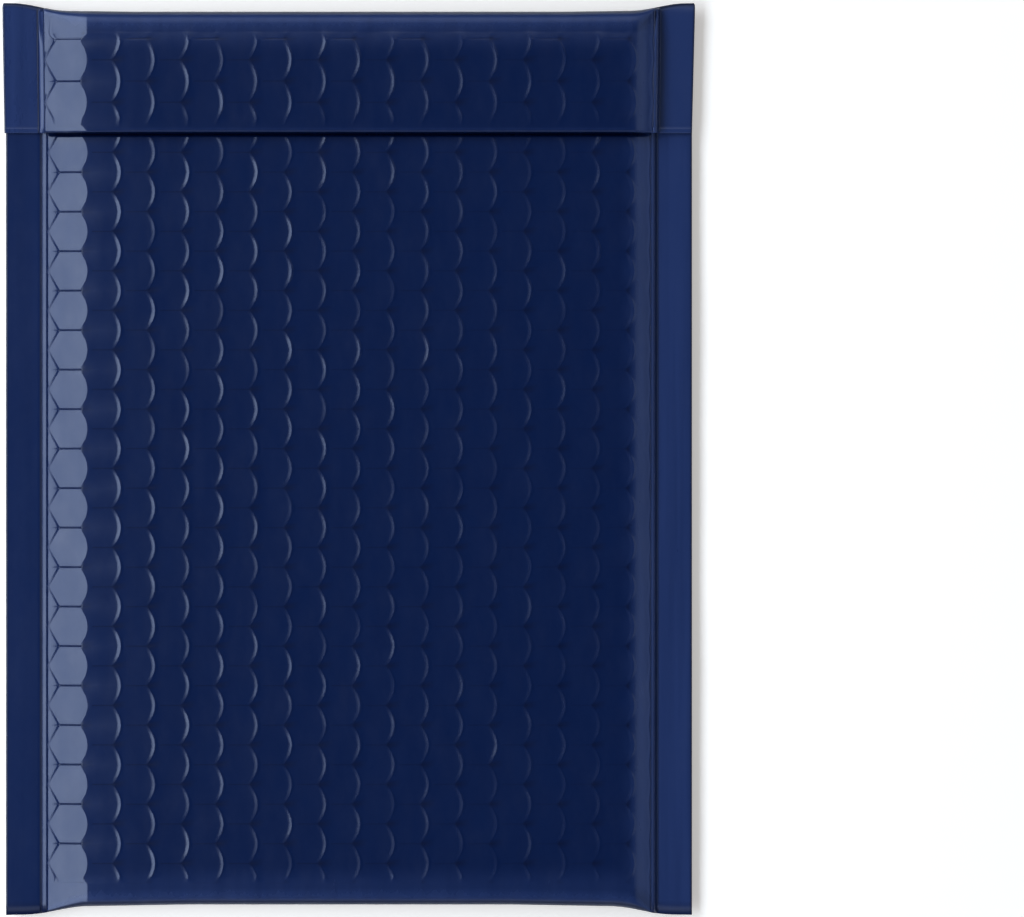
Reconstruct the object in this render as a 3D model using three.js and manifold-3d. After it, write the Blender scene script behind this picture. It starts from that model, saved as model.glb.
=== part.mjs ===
// A padded envelope, closed, lying on its back: one film web lined with hexagonal air bubbles.
// Width runs along X, length along Y with the flap at +Y, thickness along Z. Millimetres.
// The origin is under the middle of the envelope, on the surface that it lies on.

import * as THREE from 'three';
import * as BufferGeometryUtils from 'three/addons/utils/BufferGeometryUtils.js';
import Module from 'manifold-3d';

const wasm = await Module();
wasm.setup();

// Plan sizes.
const bodyWidth = 191.2;
const cornerLength = 254.2;
const flapLength = 35.8;
const flapFlare = 0.9;
const sealMargin = 9.8;
const beadWidth = 1.8;
const beadWeldShare = 0.125;
const sealOverlapShare = 0.25;

// How far the padded ends are drawn in between the corners. The edge creeps out over a long stretch,
// and makes the rest of the way in one S-shaped rise. Stretches are measured from the side edge.
const bottomPull = 2.9;
const bottomCreepFromEdge = 50.6;
const bottomCreepShare = 0.3;
const bottomRiseFromEdge = 22.6;
const bottomRiseToEdge = 5.6;
const topPull = 2.5;
const topCreepFromEdge = 35.6;
const topCreepShare = 0.2;
const topRiseFromEdge = 17.6;
const topRiseToEdge = 2.6;

// Thicknesses.
const panelThickness = 2.95;
const flapThickness = 2.6;
const pocketGap = 0.5;
const sealThickness = 0.6;
const flapSealThickness = 0.4;
const beadRise = 0.5;
const edgeThickness = 0.8;
const flapRestGap = 0.4;
const flapSealGap = 0.4;

// The padded wall climbs from the seal by a short lip and then a long shoulder.
const seamWall = 0.6;
const lipWall = 1.05;
const lipWidth = 1.2;
const shoulderWidth = 12.5;
const flapShoulderWidth = 4;

// Folds and edges, seen in the lengthwise section.
const topFoldDepth = 5.5;
const topFoldWall = 2.9;
const topFoldAtSeam = 2;
const bottomFoldDepth = 4.8;
const bottomFoldAtSeam = 1.5;
const bottomFoldWall = 2.6;
const mouthInset = 6.5;
const mouthTaper = 1.5;
const flapEdgeTaper = 2;
const foldArcSteps = 6;
const marginSteps = 2;

// Bubble quilting: regular hexagons with two edges across the width.
const bubbleSides = 6;
const bubblePitch = 11;
const bubbleFaceRadius = 4.8;
const bubbleRise = 0.9;
const grooveLift = 0.1;
const quiltRoot = 0.45;
const fieldInset = 0.15;
const fieldEndGap = 0.5;
const fieldUnderFlap = 2.8;
const fieldCutHeight = 33.6;
const frontRowPhase = 63.4;
const flapRowPhase = 99.8;
const backRowPhase = 60;

// Self-seal closure on the flap's inner face.
const adhesiveWidth = 12;
const adhesiveThickness = 0.3;
const adhesiveFromFlapEdge = 6.5;
const linerOverlap = 2;
const linerEndOverlap = 0.5;
const linerThickness = 0.2;
const stripFromSeam = 5.5;

// Points nearer than this are one point.
const weldDistance = 1e-4;
const edgeDigits = 2;

// Plain colours and roughness.
const filmColour = 0x14234b;
const filmRoughness = 0.45;
const adhesiveColour = 0xd9cfa8;
const adhesiveRoughness = 0.6;
const linerColour = 0xf1f1ee;
const linerRoughness = 0.5;

// Places worked out from the sizes above.
const bodyHalf = bodyWidth / 2;
const seamX = bodyHalf - sealMargin - beadWidth;
const creaseX = bodyHalf - sealMargin;
const cornerY = cornerLength / 2;
const flapEdgeY = cornerY - flapLength;
const midZ = bubbleRise + grooveLift + panelThickness + pocketGap / 2;
const pocketTopZ = midZ + pocketGap / 2;
const pocketBottomZ = midZ - pocketGap / 2;
const crownZ = pocketTopZ + panelThickness + grooveLift + bubbleRise;
const flapUnderZ = crownZ + flapRestGap;
const sealTopZ = midZ + sealThickness / 2;
const flapSealUnderZ = sealTopZ + flapSealGap;
const flapSeamUnderZ = pocketTopZ + seamWall + beadRise + flapSealGap;
const hexRadius = bubblePitch / Math.sqrt(3);
const columnPitch = hexRadius * 1.5;

const lerp = THREE.MathUtils.lerp;
const clamp = THREE.MathUtils.clamp;

// The ends of the web bow in between the corners: 0 in the middle, 1 at a corner.
function cornerShare(x, creepFromEdge, creepShare, riseFromEdge, riseToEdge) {
  const fromEdge = Math.max(bodyHalf - Math.abs(x), 0);
  const creep = clamp(1 - fromEdge / creepFromEdge, 0, 1);
  const rise = THREE.MathUtils.smoothstep(-fromEdge, -riseFromEdge, -riseToEdge);
  return lerp(rise, creep, creepShare);
}

function bottomY(x) {
  const share = cornerShare(x, bottomCreepFromEdge, bottomCreepShare, bottomRiseFromEdge, bottomRiseToEdge);
  return -cornerY + bottomPull * (1 - share);
}

function topY(x) {
  const share = cornerShare(x, topCreepFromEdge, topCreepShare, topRiseFromEdge, topRiseToEdge);
  return cornerY - topPull * (1 - share);
}

// 0 at the seam, 1 over the level part of the padding.
function fullness(x) {
  const inward = seamX - Math.abs(x);
  const lipShare = (lipWall - seamWall) / (panelThickness - seamWall);
  if (inward < lipWidth) {
    return clamp(inward / lipWidth, 0, 1) * lipShare;
  }
  const along = clamp((inward - lipWidth) / (shoulderWidth - lipWidth), 0, 1);
  return lerp(lipShare, 1, along);
}

function panelWall(x) {
  return lerp(seamWall, panelThickness, fullness(x));
}

function flapWall(x) {
  return lerp(seamWall, flapThickness, fullness(x));
}

function flapUnder(x) {
  const inward = clamp((seamX - Math.abs(x)) / flapShoulderWidth, 0, 1);
  return lerp(flapSeamUnderZ, flapUnderZ, inward);
}

// Half an ellipse in the lengthwise section, from one height to another round a nose.
function foldArc(ring, startY, noseY, fromZ, toZ) {
  for (let i = 0; i <= foldArcSteps; i += 1) {
    const angle = Math.PI * i / foldArcSteps;
    const y = startY + (noseY - startY) * Math.sin(angle);
    const z = (fromZ + toZ) / 2 + (fromZ - toZ) / 2 * Math.cos(angle);
    ring.push(new THREE.Vector2(y, z));
  }
}

// Lengthwise section of the padded web: flap, top fold, back, bottom fold, front, and the pocket between.
function paddedSection(x) {
  const share = fullness(x);
  const wall = panelWall(x);
  const under = flapUnder(x);
  const over = under + flapWall(x);
  const backZ = pocketBottomZ - wall;
  const frontZ = pocketTopZ + wall;
  const foldStartY = topY(x) - lerp(topFoldAtSeam, topFoldDepth, share);
  const foldInnerY = topY(x) - lerp(seamWall, topFoldWall, share);
  const bottomStartY = bottomY(x) + lerp(bottomFoldAtSeam, bottomFoldDepth, share);
  const pocketEndY = bottomY(x) + bottomFoldWall;
  const mouthY = cornerY - topPull - mouthInset;
  const ring = [];
  ring.push(new THREE.Vector2(flapEdgeY, under));
  ring.push(new THREE.Vector2(flapEdgeY, under + edgeThickness));
  ring.push(new THREE.Vector2(flapEdgeY + flapEdgeTaper, over));
  foldArc(ring, foldStartY, topY(x), over, backZ);
  foldArc(ring, bottomStartY, bottomY(x), backZ, frontZ);
  ring.push(new THREE.Vector2(mouthY - mouthTaper, frontZ));
  ring.push(new THREE.Vector2(mouthY, pocketTopZ + edgeThickness));
  ring.push(new THREE.Vector2(mouthY, pocketTopZ));
  ring.push(new THREE.Vector2(pocketEndY, pocketTopZ));
  ring.push(new THREE.Vector2(pocketEndY, pocketBottomZ));
  foldArc(ring, foldStartY, foldInnerY, pocketBottomZ, under);
  return ring;
}

// Lengthwise section of a side seal: front and back welded into one strip, the flap's margin folded over it.
function sealSection(x, bead) {
  const outward = clamp((Math.abs(x) - seamX) / beadWidth, 0, 1);
  const topFold = lerp(topFoldAtSeam, flapSealThickness + flapSealGap + sealThickness, outward);
  const under = lerp(flapSeamUnderZ + flapSealThickness / 2, flapSealUnderZ, outward);
  const over = under + flapSealThickness + bead;
  const lowZ = midZ - sealThickness / 2 - bead;
  const highZ = midZ + sealThickness / 2 + bead;
  const ring = [];
  ring.push(new THREE.Vector2(flapEdgeY, under));
  ring.push(new THREE.Vector2(flapEdgeY, over));
  foldArc(ring, topY(x) - topFold, topY(x), over, lowZ);
  ring.push(new THREE.Vector2(bottomY(x), lowZ));
  ring.push(new THREE.Vector2(bottomY(x), highZ));
  foldArc(ring, topY(x) - topFold, topY(x) - topFold / 2, highZ, under);
  return ring;
}

function closedGeometry(positions) {
  const geometry = new THREE.BufferGeometry();
  geometry.setAttribute('position', new THREE.Float32BufferAttribute(positions, 3));
  return BufferGeometryUtils.mergeVertices(geometry, weldDistance);
}

function toSolid(geometry) {
  const bare = geometry.clone();
  bare.deleteAttribute('normal');
  bare.deleteAttribute('uv');
  const merged = BufferGeometryUtils.mergeVertices(bare, weldDistance);
  return new wasm.Manifold(new wasm.Mesh({
    numProp: 3,
    vertProperties: new Float32Array(merged.attributes.position.array),
    triVerts: new Uint32Array(merged.index.array),
  }));
}

function toGeometry(solid) {
  const mesh = solid.getMesh();
  const geometry = new THREE.BufferGeometry();
  geometry.setAttribute('position', new THREE.BufferAttribute(mesh.vertProperties, 3));
  geometry.setIndex(new THREE.BufferAttribute(mesh.triVerts, 1));
  geometry.computeVertexNormals();
  return geometry;
}

// A closed solid through rings of equal count, given from the lowest X to the highest.
function loft(rings) {
  const positions = [];
  const triangle = (a, b, c) => positions.push(...a.toArray(), ...b.toArray(), ...c.toArray());
  for (let s = 0; s + 1 < rings.length; s += 1) {
    const near = rings[s];
    const far = rings[s + 1];
    for (let i = 0; i < near.length; i += 1) {
      const next = (i + 1) % near.length;
      triangle(near[i], far[i], far[next]);
      triangle(near[i], far[next], near[next]);
    }
  }
  const cap = (ring, outward) => {
    const plan = ring.map((point) => new THREE.Vector2(point.y, point.z));
    for (const [a, b, c] of THREE.ShapeUtils.triangulateShape(plan, [])) {
      const turn = THREE.ShapeUtils.area([plan[a], plan[b], plan[c]]);
      if (turn * outward > 0) {
        triangle(ring[a], ring[b], ring[c]);
      } else {
        triangle(ring[a], ring[c], ring[b]);
      }
    }
  };
  cap(rings[0], -1);
  cap(rings[rings.length - 1], 1);
  return closedGeometry(positions);
}

// The flap's margin and the top corners stand out a little further than the body's sides.
function flare(y) {
  return flapFlare * clamp((y - flapEdgeY) / flapLength, 0, 1);
}

function ringAt(section, x, flared) {
  return section.map((point) => {
    const outward = flared ? Math.sign(x) * flare(point.x) : 0;
    return new THREE.Vector3(x + outward, point.x, point.y);
  });
}

function paddedWeb() {
  const bowStart = bodyHalf - bottomCreepFromEdge;
  const level = seamX - shoulderWidth;
  const half = [seamX + beadWidth * beadWeldShare, seamX - lipWidth / 2, seamX - lipWidth];
  half.push(seamX - flapShoulderWidth, seamX - shoulderWidth / 2, level, bowStart);
  const stations = [...half.map((x) => -x), ...half.reverse()];
  return toSolid(loft(stations.map((x) => ringAt(paddedSection(x), x, false))));
}

function sideSeal(side) {
  const inner = seamX - beadWidth * sealOverlapShare;
  const stations = [[inner, 0], [seamX + beadWidth * sealOverlapShare, 0], [seamX + beadWidth / 2, beadRise]];
  for (let i = 0; i <= marginSteps; i += 1) {
    stations.push([lerp(creaseX, bodyHalf, i / marginSteps), 0]);
  }
  const rings = stations.map(([x, bead]) => ringAt(sealSection(x, bead), side * x, x === bodyHalf));
  return toSolid(loft(side < 0 ? rings.reverse() : rings));
}

// Centres of the bubbles over a stretch of the length, every other column half a pitch along.
function bubbleCentres(lowY, highY, phaseY) {
  const columns = Math.floor((2 * seamX - 2 * hexRadius) / columnPitch) + 1;
  const centres = [];
  for (let column = 0; column < columns; column += 1) {
    const x = -seamX + hexRadius + column * columnPitch;
    const shifted = phaseY + (column % 2) * bubblePitch / 2;
    const first = Math.ceil((lowY - bubblePitch / 2 - shifted) / bubblePitch);
    const last = Math.floor((highY + bubblePitch / 2 - shifted) / bubblePitch);
    for (let row = first; row <= last; row += 1) {
      centres.push(new THREE.Vector2(x, shifted + row * bubblePitch));
    }
  }
  return centres;
}

function hexRing(centre, radius) {
  const ring = [];
  for (let i = 0; i < bubbleSides; i += 1) {
    const angle = 2 * Math.PI * i / bubbleSides;
    const x = centre.x + radius * Math.cos(angle);
    ring.push(new THREE.Vector2(x, centre.y + radius * Math.sin(angle)));
  }
  return ring;
}

// One sheet of bubbles as a closed solid. It stands on skin(x), on the side that facing gives,
// and is rooted a little below it. Bubbles have a flat face, or come to a low point.
function quilt(lowY, highY, phaseY, facing, skin, flatFaces) {
  const centres = bubbleCentres(lowY, highY, phaseY);
  const positions = [];
  const place = (point, out) => [point.x, point.y, skin(point.x) + facing * out];
  const triangle = (a, b, c) => {
    const order = facing > 0 ? [a, b, c] : [a, c, b];
    positions.push(...order.flat());
  };
  const edgeKey = (a, b) => `${(a.x + b.x).toFixed(edgeDigits)},${(a.y + b.y).toFixed(edgeDigits)}`;
  const edgeCount = new Map();
  for (const centre of centres) {
    const ring = hexRing(centre, hexRadius);
    for (let i = 0; i < bubbleSides; i += 1) {
      const key = edgeKey(ring[i], ring[(i + 1) % bubbleSides]);
      edgeCount.set(key, (edgeCount.get(key) ?? 0) + 1);
    }
  }
  for (const centre of centres) {
    const ring = hexRing(centre, hexRadius);
    const groove = ring.map((point) => place(point, grooveLift));
    const root = ring.map((point) => place(point, -quiltRoot));
    const face = hexRing(centre, bubbleFaceRadius).map((point) => place(point, grooveLift + bubbleRise));
    const crown = place(centre, grooveLift + bubbleRise);
    const rootCentre = place(centre, -quiltRoot);
    for (let i = 0; i < bubbleSides; i += 1) {
      const next = (i + 1) % bubbleSides;
      triangle(rootCentre, root[next], root[i]);
      if (flatFaces) {
        triangle(groove[i], groove[next], face[next]);
        triangle(groove[i], face[next], face[i]);
      } else {
        triangle(groove[i], groove[next], crown);
      }
      if (edgeCount.get(edgeKey(ring[i], ring[next])) === 1) {
        triangle(root[i], root[next], groove[next]);
        triangle(root[i], groove[next], groove[i]);
      }
    }
    for (let i = 1; flatFaces && i + 1 < bubbleSides; i += 1) {
      triangle(face[0], face[i], face[i + 1]);
    }
  }
  const field = toSolid(closedGeometry(positions));
  const width = 2 * (seamX - fieldInset);
  const box = new THREE.BoxGeometry(width, highY - lowY, fieldCutHeight);
  box.translate(0, (lowY + highY) / 2, crownZ);
  return field.intersect(toSolid(box));
}

function frontBubbles() {
  const lowY = bottomY(0) + bottomFoldDepth + fieldEndGap;
  const highY = flapEdgeY + fieldUnderFlap;
  return quilt(lowY, highY, frontRowPhase, 1, (x) => pocketTopZ + panelWall(x), true);
}

function flapBubbles() {
  const lowY = flapEdgeY + flapEdgeTaper + fieldEndGap;
  const highY = topY(0) - topFoldDepth - fieldEndGap;
  return quilt(lowY, highY, flapRowPhase, 1, (x) => flapUnder(x) + flapWall(x), true);
}

function backBubbles() {
  const lowY = bottomY(0) + bottomFoldDepth + fieldEndGap;
  const highY = topY(0) - topFoldDepth - fieldEndGap;
  return quilt(lowY, highY, backRowPhase, -1, (x) => pocketBottomZ - panelWall(x), false);
}

function envelopeGeometry() {
  const web = paddedWeb().add(sideSeal(-1)).add(sideSeal(1));
  const quilted = web.add(frontBubbles()).add(flapBubbles()).add(backBubbles());
  return toGeometry(quilted);
}

// A flat strip under the flap, given by how far it starts from the flap's edge and its top height.
function stripGeometry(halfWidth, fromEdge, width, topZ, thickness) {
  const geometry = new THREE.BoxGeometry(2 * halfWidth, width, thickness);
  geometry.translate(0, flapEdgeY + fromEdge + width / 2, topZ - thickness / 2);
  return geometry;
}

function adhesiveGeometry() {
  const halfWidth = seamX - stripFromSeam;
  return stripGeometry(halfWidth, adhesiveFromFlapEdge, adhesiveWidth, flapUnderZ, adhesiveThickness);
}

function linerGeometry() {
  const halfWidth = seamX - stripFromSeam + linerEndOverlap;
  const fromEdge = adhesiveFromFlapEdge - linerOverlap;
  const width = adhesiveWidth + 2 * linerOverlap;
  return stripGeometry(halfWidth, fromEdge, width, flapUnderZ - adhesiveThickness, linerThickness);
}

function part(name, geometry, colour, roughness) {
  const material = new THREE.MeshStandardMaterial({ color: colour, roughness, metalness: 0 });
  const mesh = new THREE.Mesh(geometry, material);
  mesh.name = name;
  return mesh;
}

const envelope = new THREE.Group();
envelope.add(part('envelope', envelopeGeometry(), filmColour, filmRoughness));
envelope.add(part('adhesive_strip', adhesiveGeometry(), adhesiveColour, adhesiveRoughness));
envelope.add(part('release_liner', linerGeometry(), linerColour, linerRoughness));

export default envelope;
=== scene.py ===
"""Looks of a padded film envelope, closed and lying on its back. Metres, +Y towards the flap's fold."""

import math

import bmesh
import bpy
import numpy as np
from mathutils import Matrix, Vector


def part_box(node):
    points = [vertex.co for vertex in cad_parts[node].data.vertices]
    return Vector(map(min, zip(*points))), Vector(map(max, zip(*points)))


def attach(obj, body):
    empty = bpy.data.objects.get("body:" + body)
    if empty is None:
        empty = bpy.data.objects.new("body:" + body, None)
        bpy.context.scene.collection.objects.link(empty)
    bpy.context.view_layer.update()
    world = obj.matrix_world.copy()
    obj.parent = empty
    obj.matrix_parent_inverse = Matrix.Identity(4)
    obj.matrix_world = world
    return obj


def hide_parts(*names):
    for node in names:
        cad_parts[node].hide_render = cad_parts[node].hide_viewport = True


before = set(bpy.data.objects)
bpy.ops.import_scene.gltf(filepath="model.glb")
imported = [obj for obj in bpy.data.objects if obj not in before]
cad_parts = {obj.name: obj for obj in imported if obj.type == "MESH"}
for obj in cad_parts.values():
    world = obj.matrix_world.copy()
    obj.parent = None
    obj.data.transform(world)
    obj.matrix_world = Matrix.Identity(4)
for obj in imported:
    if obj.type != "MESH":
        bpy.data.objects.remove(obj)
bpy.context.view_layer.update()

# Plan sizes of the envelope.
BODY_HALF = 0.0956
SEAL_MARGIN = 0.0098
BEAD_WIDTH = 0.0018
SEAM_X = BODY_HALF - SEAL_MARGIN - BEAD_WIDTH
CORNER_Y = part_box("envelope")[1][1]
FLAP_LENGTH = 0.0363
FLAP_EDGE_Y = CORNER_Y - FLAP_LENGTH
# The flap stands out past the body by the first value at its lower edge, and by the second more at the fold.
SEAM_SPREAD = (0.0006, 0.0004)
EDGE_SPREADS = {-1: (0.0004, 0.0006), 1: (0.0, 0.0009)}
SPREAD_WIDTH = 0.012
WEB_OVERLAP = 0.00026
WEB_EDGE_X = SEAM_X + BEAD_WIDTH / 7
# Between the corners the folds are drawn in, over the rise near each corner and by a slow creep further in.
BOTTOM_PULL = 0.0029
BOTTOM_RISE = (0.0730, 0.0900)
BOTTOM_CREEP_FROM = 0.0450
BOTTOM_CREEP_SHARE = 0.3
TOP_PULL = 0.0025
TOP_RISE = (0.0780, 0.0930)
TOP_CREEP_FROM = 0.0600
TOP_CREEP_SHARE = 0.2

# Heights, measured from the surface that the envelope lies on. Pairs are left and right.
MID_Z = 0.0042
FULL_HALF = 0.0042
SEAM_HALVES = (0.00035, 0.0021)
SEAL_HALF = 0.0003
POCKET_HALF = 0.00025
FLAP_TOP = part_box("envelope")[1][2]
FLAP_UNDER = 0.0088
FLAP_SEAM_TOPS = (0.0062, 0.0097)
FLAP_SEAM_UNDERS = (0.0057, 0.0066)
FLAP_SEAL_UNDER = 0.0049
FLAP_SEAL_THICKNESS = 0.0004
SEAM_UNDER_LIFT = 0.0002

# Each margin by the padding: distance from the seam, height over the margin on the body and on the flap,
# all in millimetres, and shade.
BEADS = {
    -1: ((0.02, -0.10, 0.65, 1.0), (0.10, 0.10, 0.80, 0.8), (0.18, 0.33, 0.95, 0.3), (0.30, 0.37, 0.97, 0.0),
         (0.65, 0.28, 0.87, 0.0), (1.05, 0.17, 0.76, 0.0), (1.45, 0.06, 0.64, 0.0), (1.60, -0.02, 0.50, 0.3),
         (1.75, -0.16, 0.10, 1.0), (1.95, -0.20, 0.0, 1.0), (2.15, -0.05, 0.0, 0.5), (2.3, 0.0, 0.0, 0.0)),
    1: ((0.11, 1.74, 4.34, 0.0), (0.26, 1.80, 4.40, 0.0), (0.6, 1.66, 4.22, 0.0), (1.0, 1.47, 4.0, 0.0),
        (1.25, 1.20, 3.4, 0.2), (1.5, 0.62, 2.0, 0.35), (1.75, 0.12, 1.1, 0.4), (1.9, 0.0, 0.9, 0.4),
        (2.1, -0.06, 0.86, 0.3), (2.4, 0.0, 0.84, 0.0)),
}
MARGIN_STATIONS = ((0.0011, 0.0), (0.0022, 0.0), (0.0042, 0.0), (0.0062, 0.0), (0.0080, 0.0), (0.0090, 0.0),
                   (0.0094, 0.5), (SEAL_MARGIN, 0.9))
INNER_DROPS = {-1: 0.0, 1: 0.6}
# Paleness of each seal on the body and on the flap: partly the weld's own tone, partly painted light, most on
# the right.
SEAL_MASKS = {-1: 0.22, 1: 0.92}
FLAP_SEAL_MASKS = {-1: 0.70, 1: 1.0}
SEAL_RIDGE_RISE = 0.00022
EDGE_THICKNESS = 0.0008
SLIT_AT_SEAM = 0.3
SLIT_GROWTH = 2
SLIT_AT_MOUTH = 0.98

# The margins' sag as a slope, and their waves as radians a metre and height.
MARGIN_SAG = {-1: -0.04, 1: 0.06}
MARGIN_WAVES = ((61, 0.00012), (133, 0.000072), (410, 0.00004))
SEAL_SEEDS = {-1: 31, 1: 37}

# Rows of a side seal's section.
SEAL_EDGE_ROWS = np.array([0.0, 0.0004, 0.0007, 0.0010, 0.0013, 0.0016, 0.0022])
SEAL_EDGE_SHADE = 0.5
SEAL_FLAP_FROM = 0.004
SEAL_FLAP_ROWS = 14
SEAL_FOLD_STEPS = 10
SEAL_FOLD_SHADE_STEPS = 3
SEAL_BODY_ROWS = 64
SEAL_END_SHADE = 0.6
SEAL_UNDER_FLAP_WIDTH = 0.0016
SEAL_BOTTOM_WIDTH = 0.0006
SEAL_INNER_STEPS = 6
SEAL_INNER_REACH = 0.4

# The padding climbs from each seam by a lip and a shoulder. Pairs are left and right.
LIP_WIDTH = 0.00032
LIP_SHARES = (0.17, 0.0)
FLAP_LIP_SHARES = (0.49, 0.0)
LEFT_SHOULDER = 0.0114
REST_WIDTH = 0.0170
RIGHT_SHOULDER = 0.0056
RIGHT_ROUNDNESS = 1.5
UNDER_SHOULDER = 0.0040

# Folds and edges in the lengthwise section.
TOP_FOLD_DEPTH = 0.0055
TOP_FOLD_WALL = 0.0029
BOTTOM_FOLD_DEPTH = 0.0048
FOLD_AT_SEAM = 0.0012
FOLD_AT_EDGE = 0.0014
FOLD_WALL_AT_SEAM = 0.0006
BOTTOM_FOLD_WALL = 0.0026
TOP_FOLD_STEPS = 20
BOTTOM_FOLD_STEPS = 14
INNER_FOLD_STEPS = 8
MOUTH_Y = 0.1183
MOUTH_TAPER = 0.0015
FLAP_EDGE_TAPER = 0.0030
EDGE_ROUND = 0.0002
EDGE_BAND_DROP = 0.0004
EDGE_RIDGE_AT = 0.0010
EDGE_RIDGE_WIDTH = 0.00035
EDGE_RIDGE_RISE = 0.00010
# A painted highlight along the ridge by the flap's lower edge.
EDGE_RIDGE_HIGHLIGHT = 0.2
EDGE_ROWS = np.array([0.0, 0.00004, 0.0001, 0.0002, 0.0007, 0.0010, 0.0013, 0.0017, 0.0022])
TOP_LEAN_FROM = 0.1125
TOP_LEAN = 0.00045
TOP_LEAN_PAST = 1.15
FOLD_SQUARENESS = 1.8
DIP_DEPTH = 0.0012
DIP_BELOW = 0.0011
DIP_WIDTH = 0.0011
DIP_FROM_SEAM = 0.003
DIP_LEAST = 0.2
DIP_ROWS = np.array([-0.0030, -0.0024, -0.0018, -0.0012, -0.0009, -0.0006, -0.0003, 0.0, 0.0003])
DIP_SHADE = 0.6
DIP_SHADE_WIDTH = 0.0030
FRONT_PAST_EDGE = 0.006
HIDDEN_STEP = 0.002
HIDDEN_ROW_Y = 0.104
# Painted light over the first columns by the left seam, fading inwards.
LEFT_PALE = 0.20
LEFT_PALE_WIDTH = 0.0340
RIGHT_BAND_FROM = 0.0765
RIGHT_BAND_FADE = 0.0060
RIGHT_BAND_PALE = 0.9
# Painted light on the folds and on the flap's top band, and painted shade on the folds' noses.
FOLD_PAINTED_LIGHT = 0.28
FOLD_PALE_STEPS = 3
TOP_NOSE = 0.20
BOTTOM_NOSE = 0.30
NOSE_FADE = 0.08
NOSE_SHADE = 0.85
FOLD_PALE_WIDTH = 0.006

# Bubble lining: hexagons with two edges across the width, each with a raised rim at its right.
PITCH = 0.011
FLAP_PITCH = 0.0118
APOTHEM = PITCH / 2
COS30 = math.cos(math.pi / 6)
HEX_RADIUS = PITCH / math.sqrt(3)
COLUMN_PITCH = 1.5 * HEX_RADIUS
COLUMNS = 17
FRONT_PHASE = 0.0634
FLAP_PHASE = 0.0992
BACK_PHASE = 0.0600
FRONT_SEED = 7
FLAP_SEED = 11
BACK_SEED = 23
GROOVE_DEPTH = 0.00027
GROOVE_WIDTH = 0.00028
GROOVE_ACROSS = GROOVE_WIDTH / COS30
WALL_DEPTH = 0.35
LEVEL_GROOVE = 0.18
LEVEL_WANE = 0.7
LEFT_GROOVE = 0.36
FIRST_GROOVE = 0.7
GROOVE_SHADE = 0.4
LEVEL_SHADE = 4.0
STEP_SHADE = 1.0
TIE_BREAK = 0.0000002
SPOT_OFFSET = 0.0029
SPOT_RADIUS = 0.0006
SPOT_SHADE = 0.8
CREST_OFFSET = 0.0047
CREST_CURVE = 0.0135
FIRST_CREST = (0.0048, 0.0175)
CREST_GAP = 0.00045
CREST_RISE = 0.00020
CREST_STRENGTH = 0.95
CREST_SCATTER = 0.11
CREST_LIMITS = (0.6, 1.2)
CREST_SOFTNESS = 0.3
FACE_LEAN = 0.008
CALM_FROM = 0.55
BACK_SUNK = 0.00026
CREST_SLOPE_WIDTH = 0.00105
CREST_WANE = (0.25, 0.25)
CREST_FALL_WIDTH = 0.0004
CREST_END = 0.0047
CREST_END_FADE = 0.0013
FIELD_FADE = 0.0016
FIELD_SIDE_SHARE = 0.25
FIELD_SIDE_WIDTH = 0.004
WALLS_FROM = 0.3
FIELD_TAPER = 0.0026
END_ROWS = np.array([0.0, 0.0006, 0.0012, 0.0018, 0.0024])
FRONT_LOW = -0.1186
FLAP_HIGH = 0.1186
FLAP_FIELD_PAST = 0.0012
BACK_HIGH = 0.1188

# Mesh lines, as distances from a groove, rim or seam, or as shares of the way between two of them.
LEFT_LINES = ((0.0, GROOVE_ACROSS, 0.0005, 0.0008, 0.0012), (0.0, GROOVE_ACROSS), (0.0,))
SEAM_LINES = ((0.0, 0.0), (0.00016, 0.2), (0.00034, 0.4), (0.00046, 0.6))
BESIDE_GROOVE_SHARE = 0.6
FACE_SHARES = (0.33, 0.67)
RIGHT_SHARES = ((0.35, 0.75, 1.0), (0.35, 0.75))
RIGHT_BAND_SHARES = (0.12, 0.28, 0.5, 0.7, 0.86, 1.0)
STRAIGHT_CREST = 0.4 * HEX_RADIUS
CREST_LINES = (0.00125, 0.00096, 0.0005, 0.00012, 0.0)
ROW_LINES = (0.0, GROOVE_WIDTH, 0.0014, 0.00275, 0.0041, 0.0055 - GROOVE_WIDTH)
BACK_ROW_LINES = (0.0, 0.0015, 0.0040)

# Photograph's frame.
FRAME_PIXELS = (1024, 917)
METRES_PER_PIXEL = 0.0002792
OBJECT_CENTRE_PIXEL = (349.3, 459.0)
CAMERA_DISTANCE = 3.0
SENSOR_WIDTH = 36.0


def lerp(a, b, t):
    return a + (b - a) * t


def smooth(t):
    t = np.clip(t, 0.0, 1.0)
    return t * t * (3 - 2 * t)


# Shape of the web across the width.

def pull_share(x, rise, creep_from, creep_share):
    """How far the fold stands out at x, from 0 in its drawn-in middle to 1 at the corners."""
    reach = np.minimum(np.abs(x), BODY_HALF)
    creep = np.clip((reach - creep_from) / (BODY_HALF - creep_from), 0, 1)
    return (1 - creep_share) * smooth((reach - rise[0]) / (rise[1] - rise[0])) + creep_share * creep


def bottom_y(x):
    return -CORNER_Y + BOTTOM_PULL * (1 - pull_share(x, BOTTOM_RISE, BOTTOM_CREEP_FROM, BOTTOM_CREEP_SHARE))


def top_y(x):
    return CORNER_Y - TOP_PULL * (1 - pull_share(x, TOP_RISE, TOP_CREEP_FROM, TOP_CREEP_SHARE))


def by_side(x, values):
    return np.where(np.asarray(x) < 0, values[0], values[1])


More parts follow.
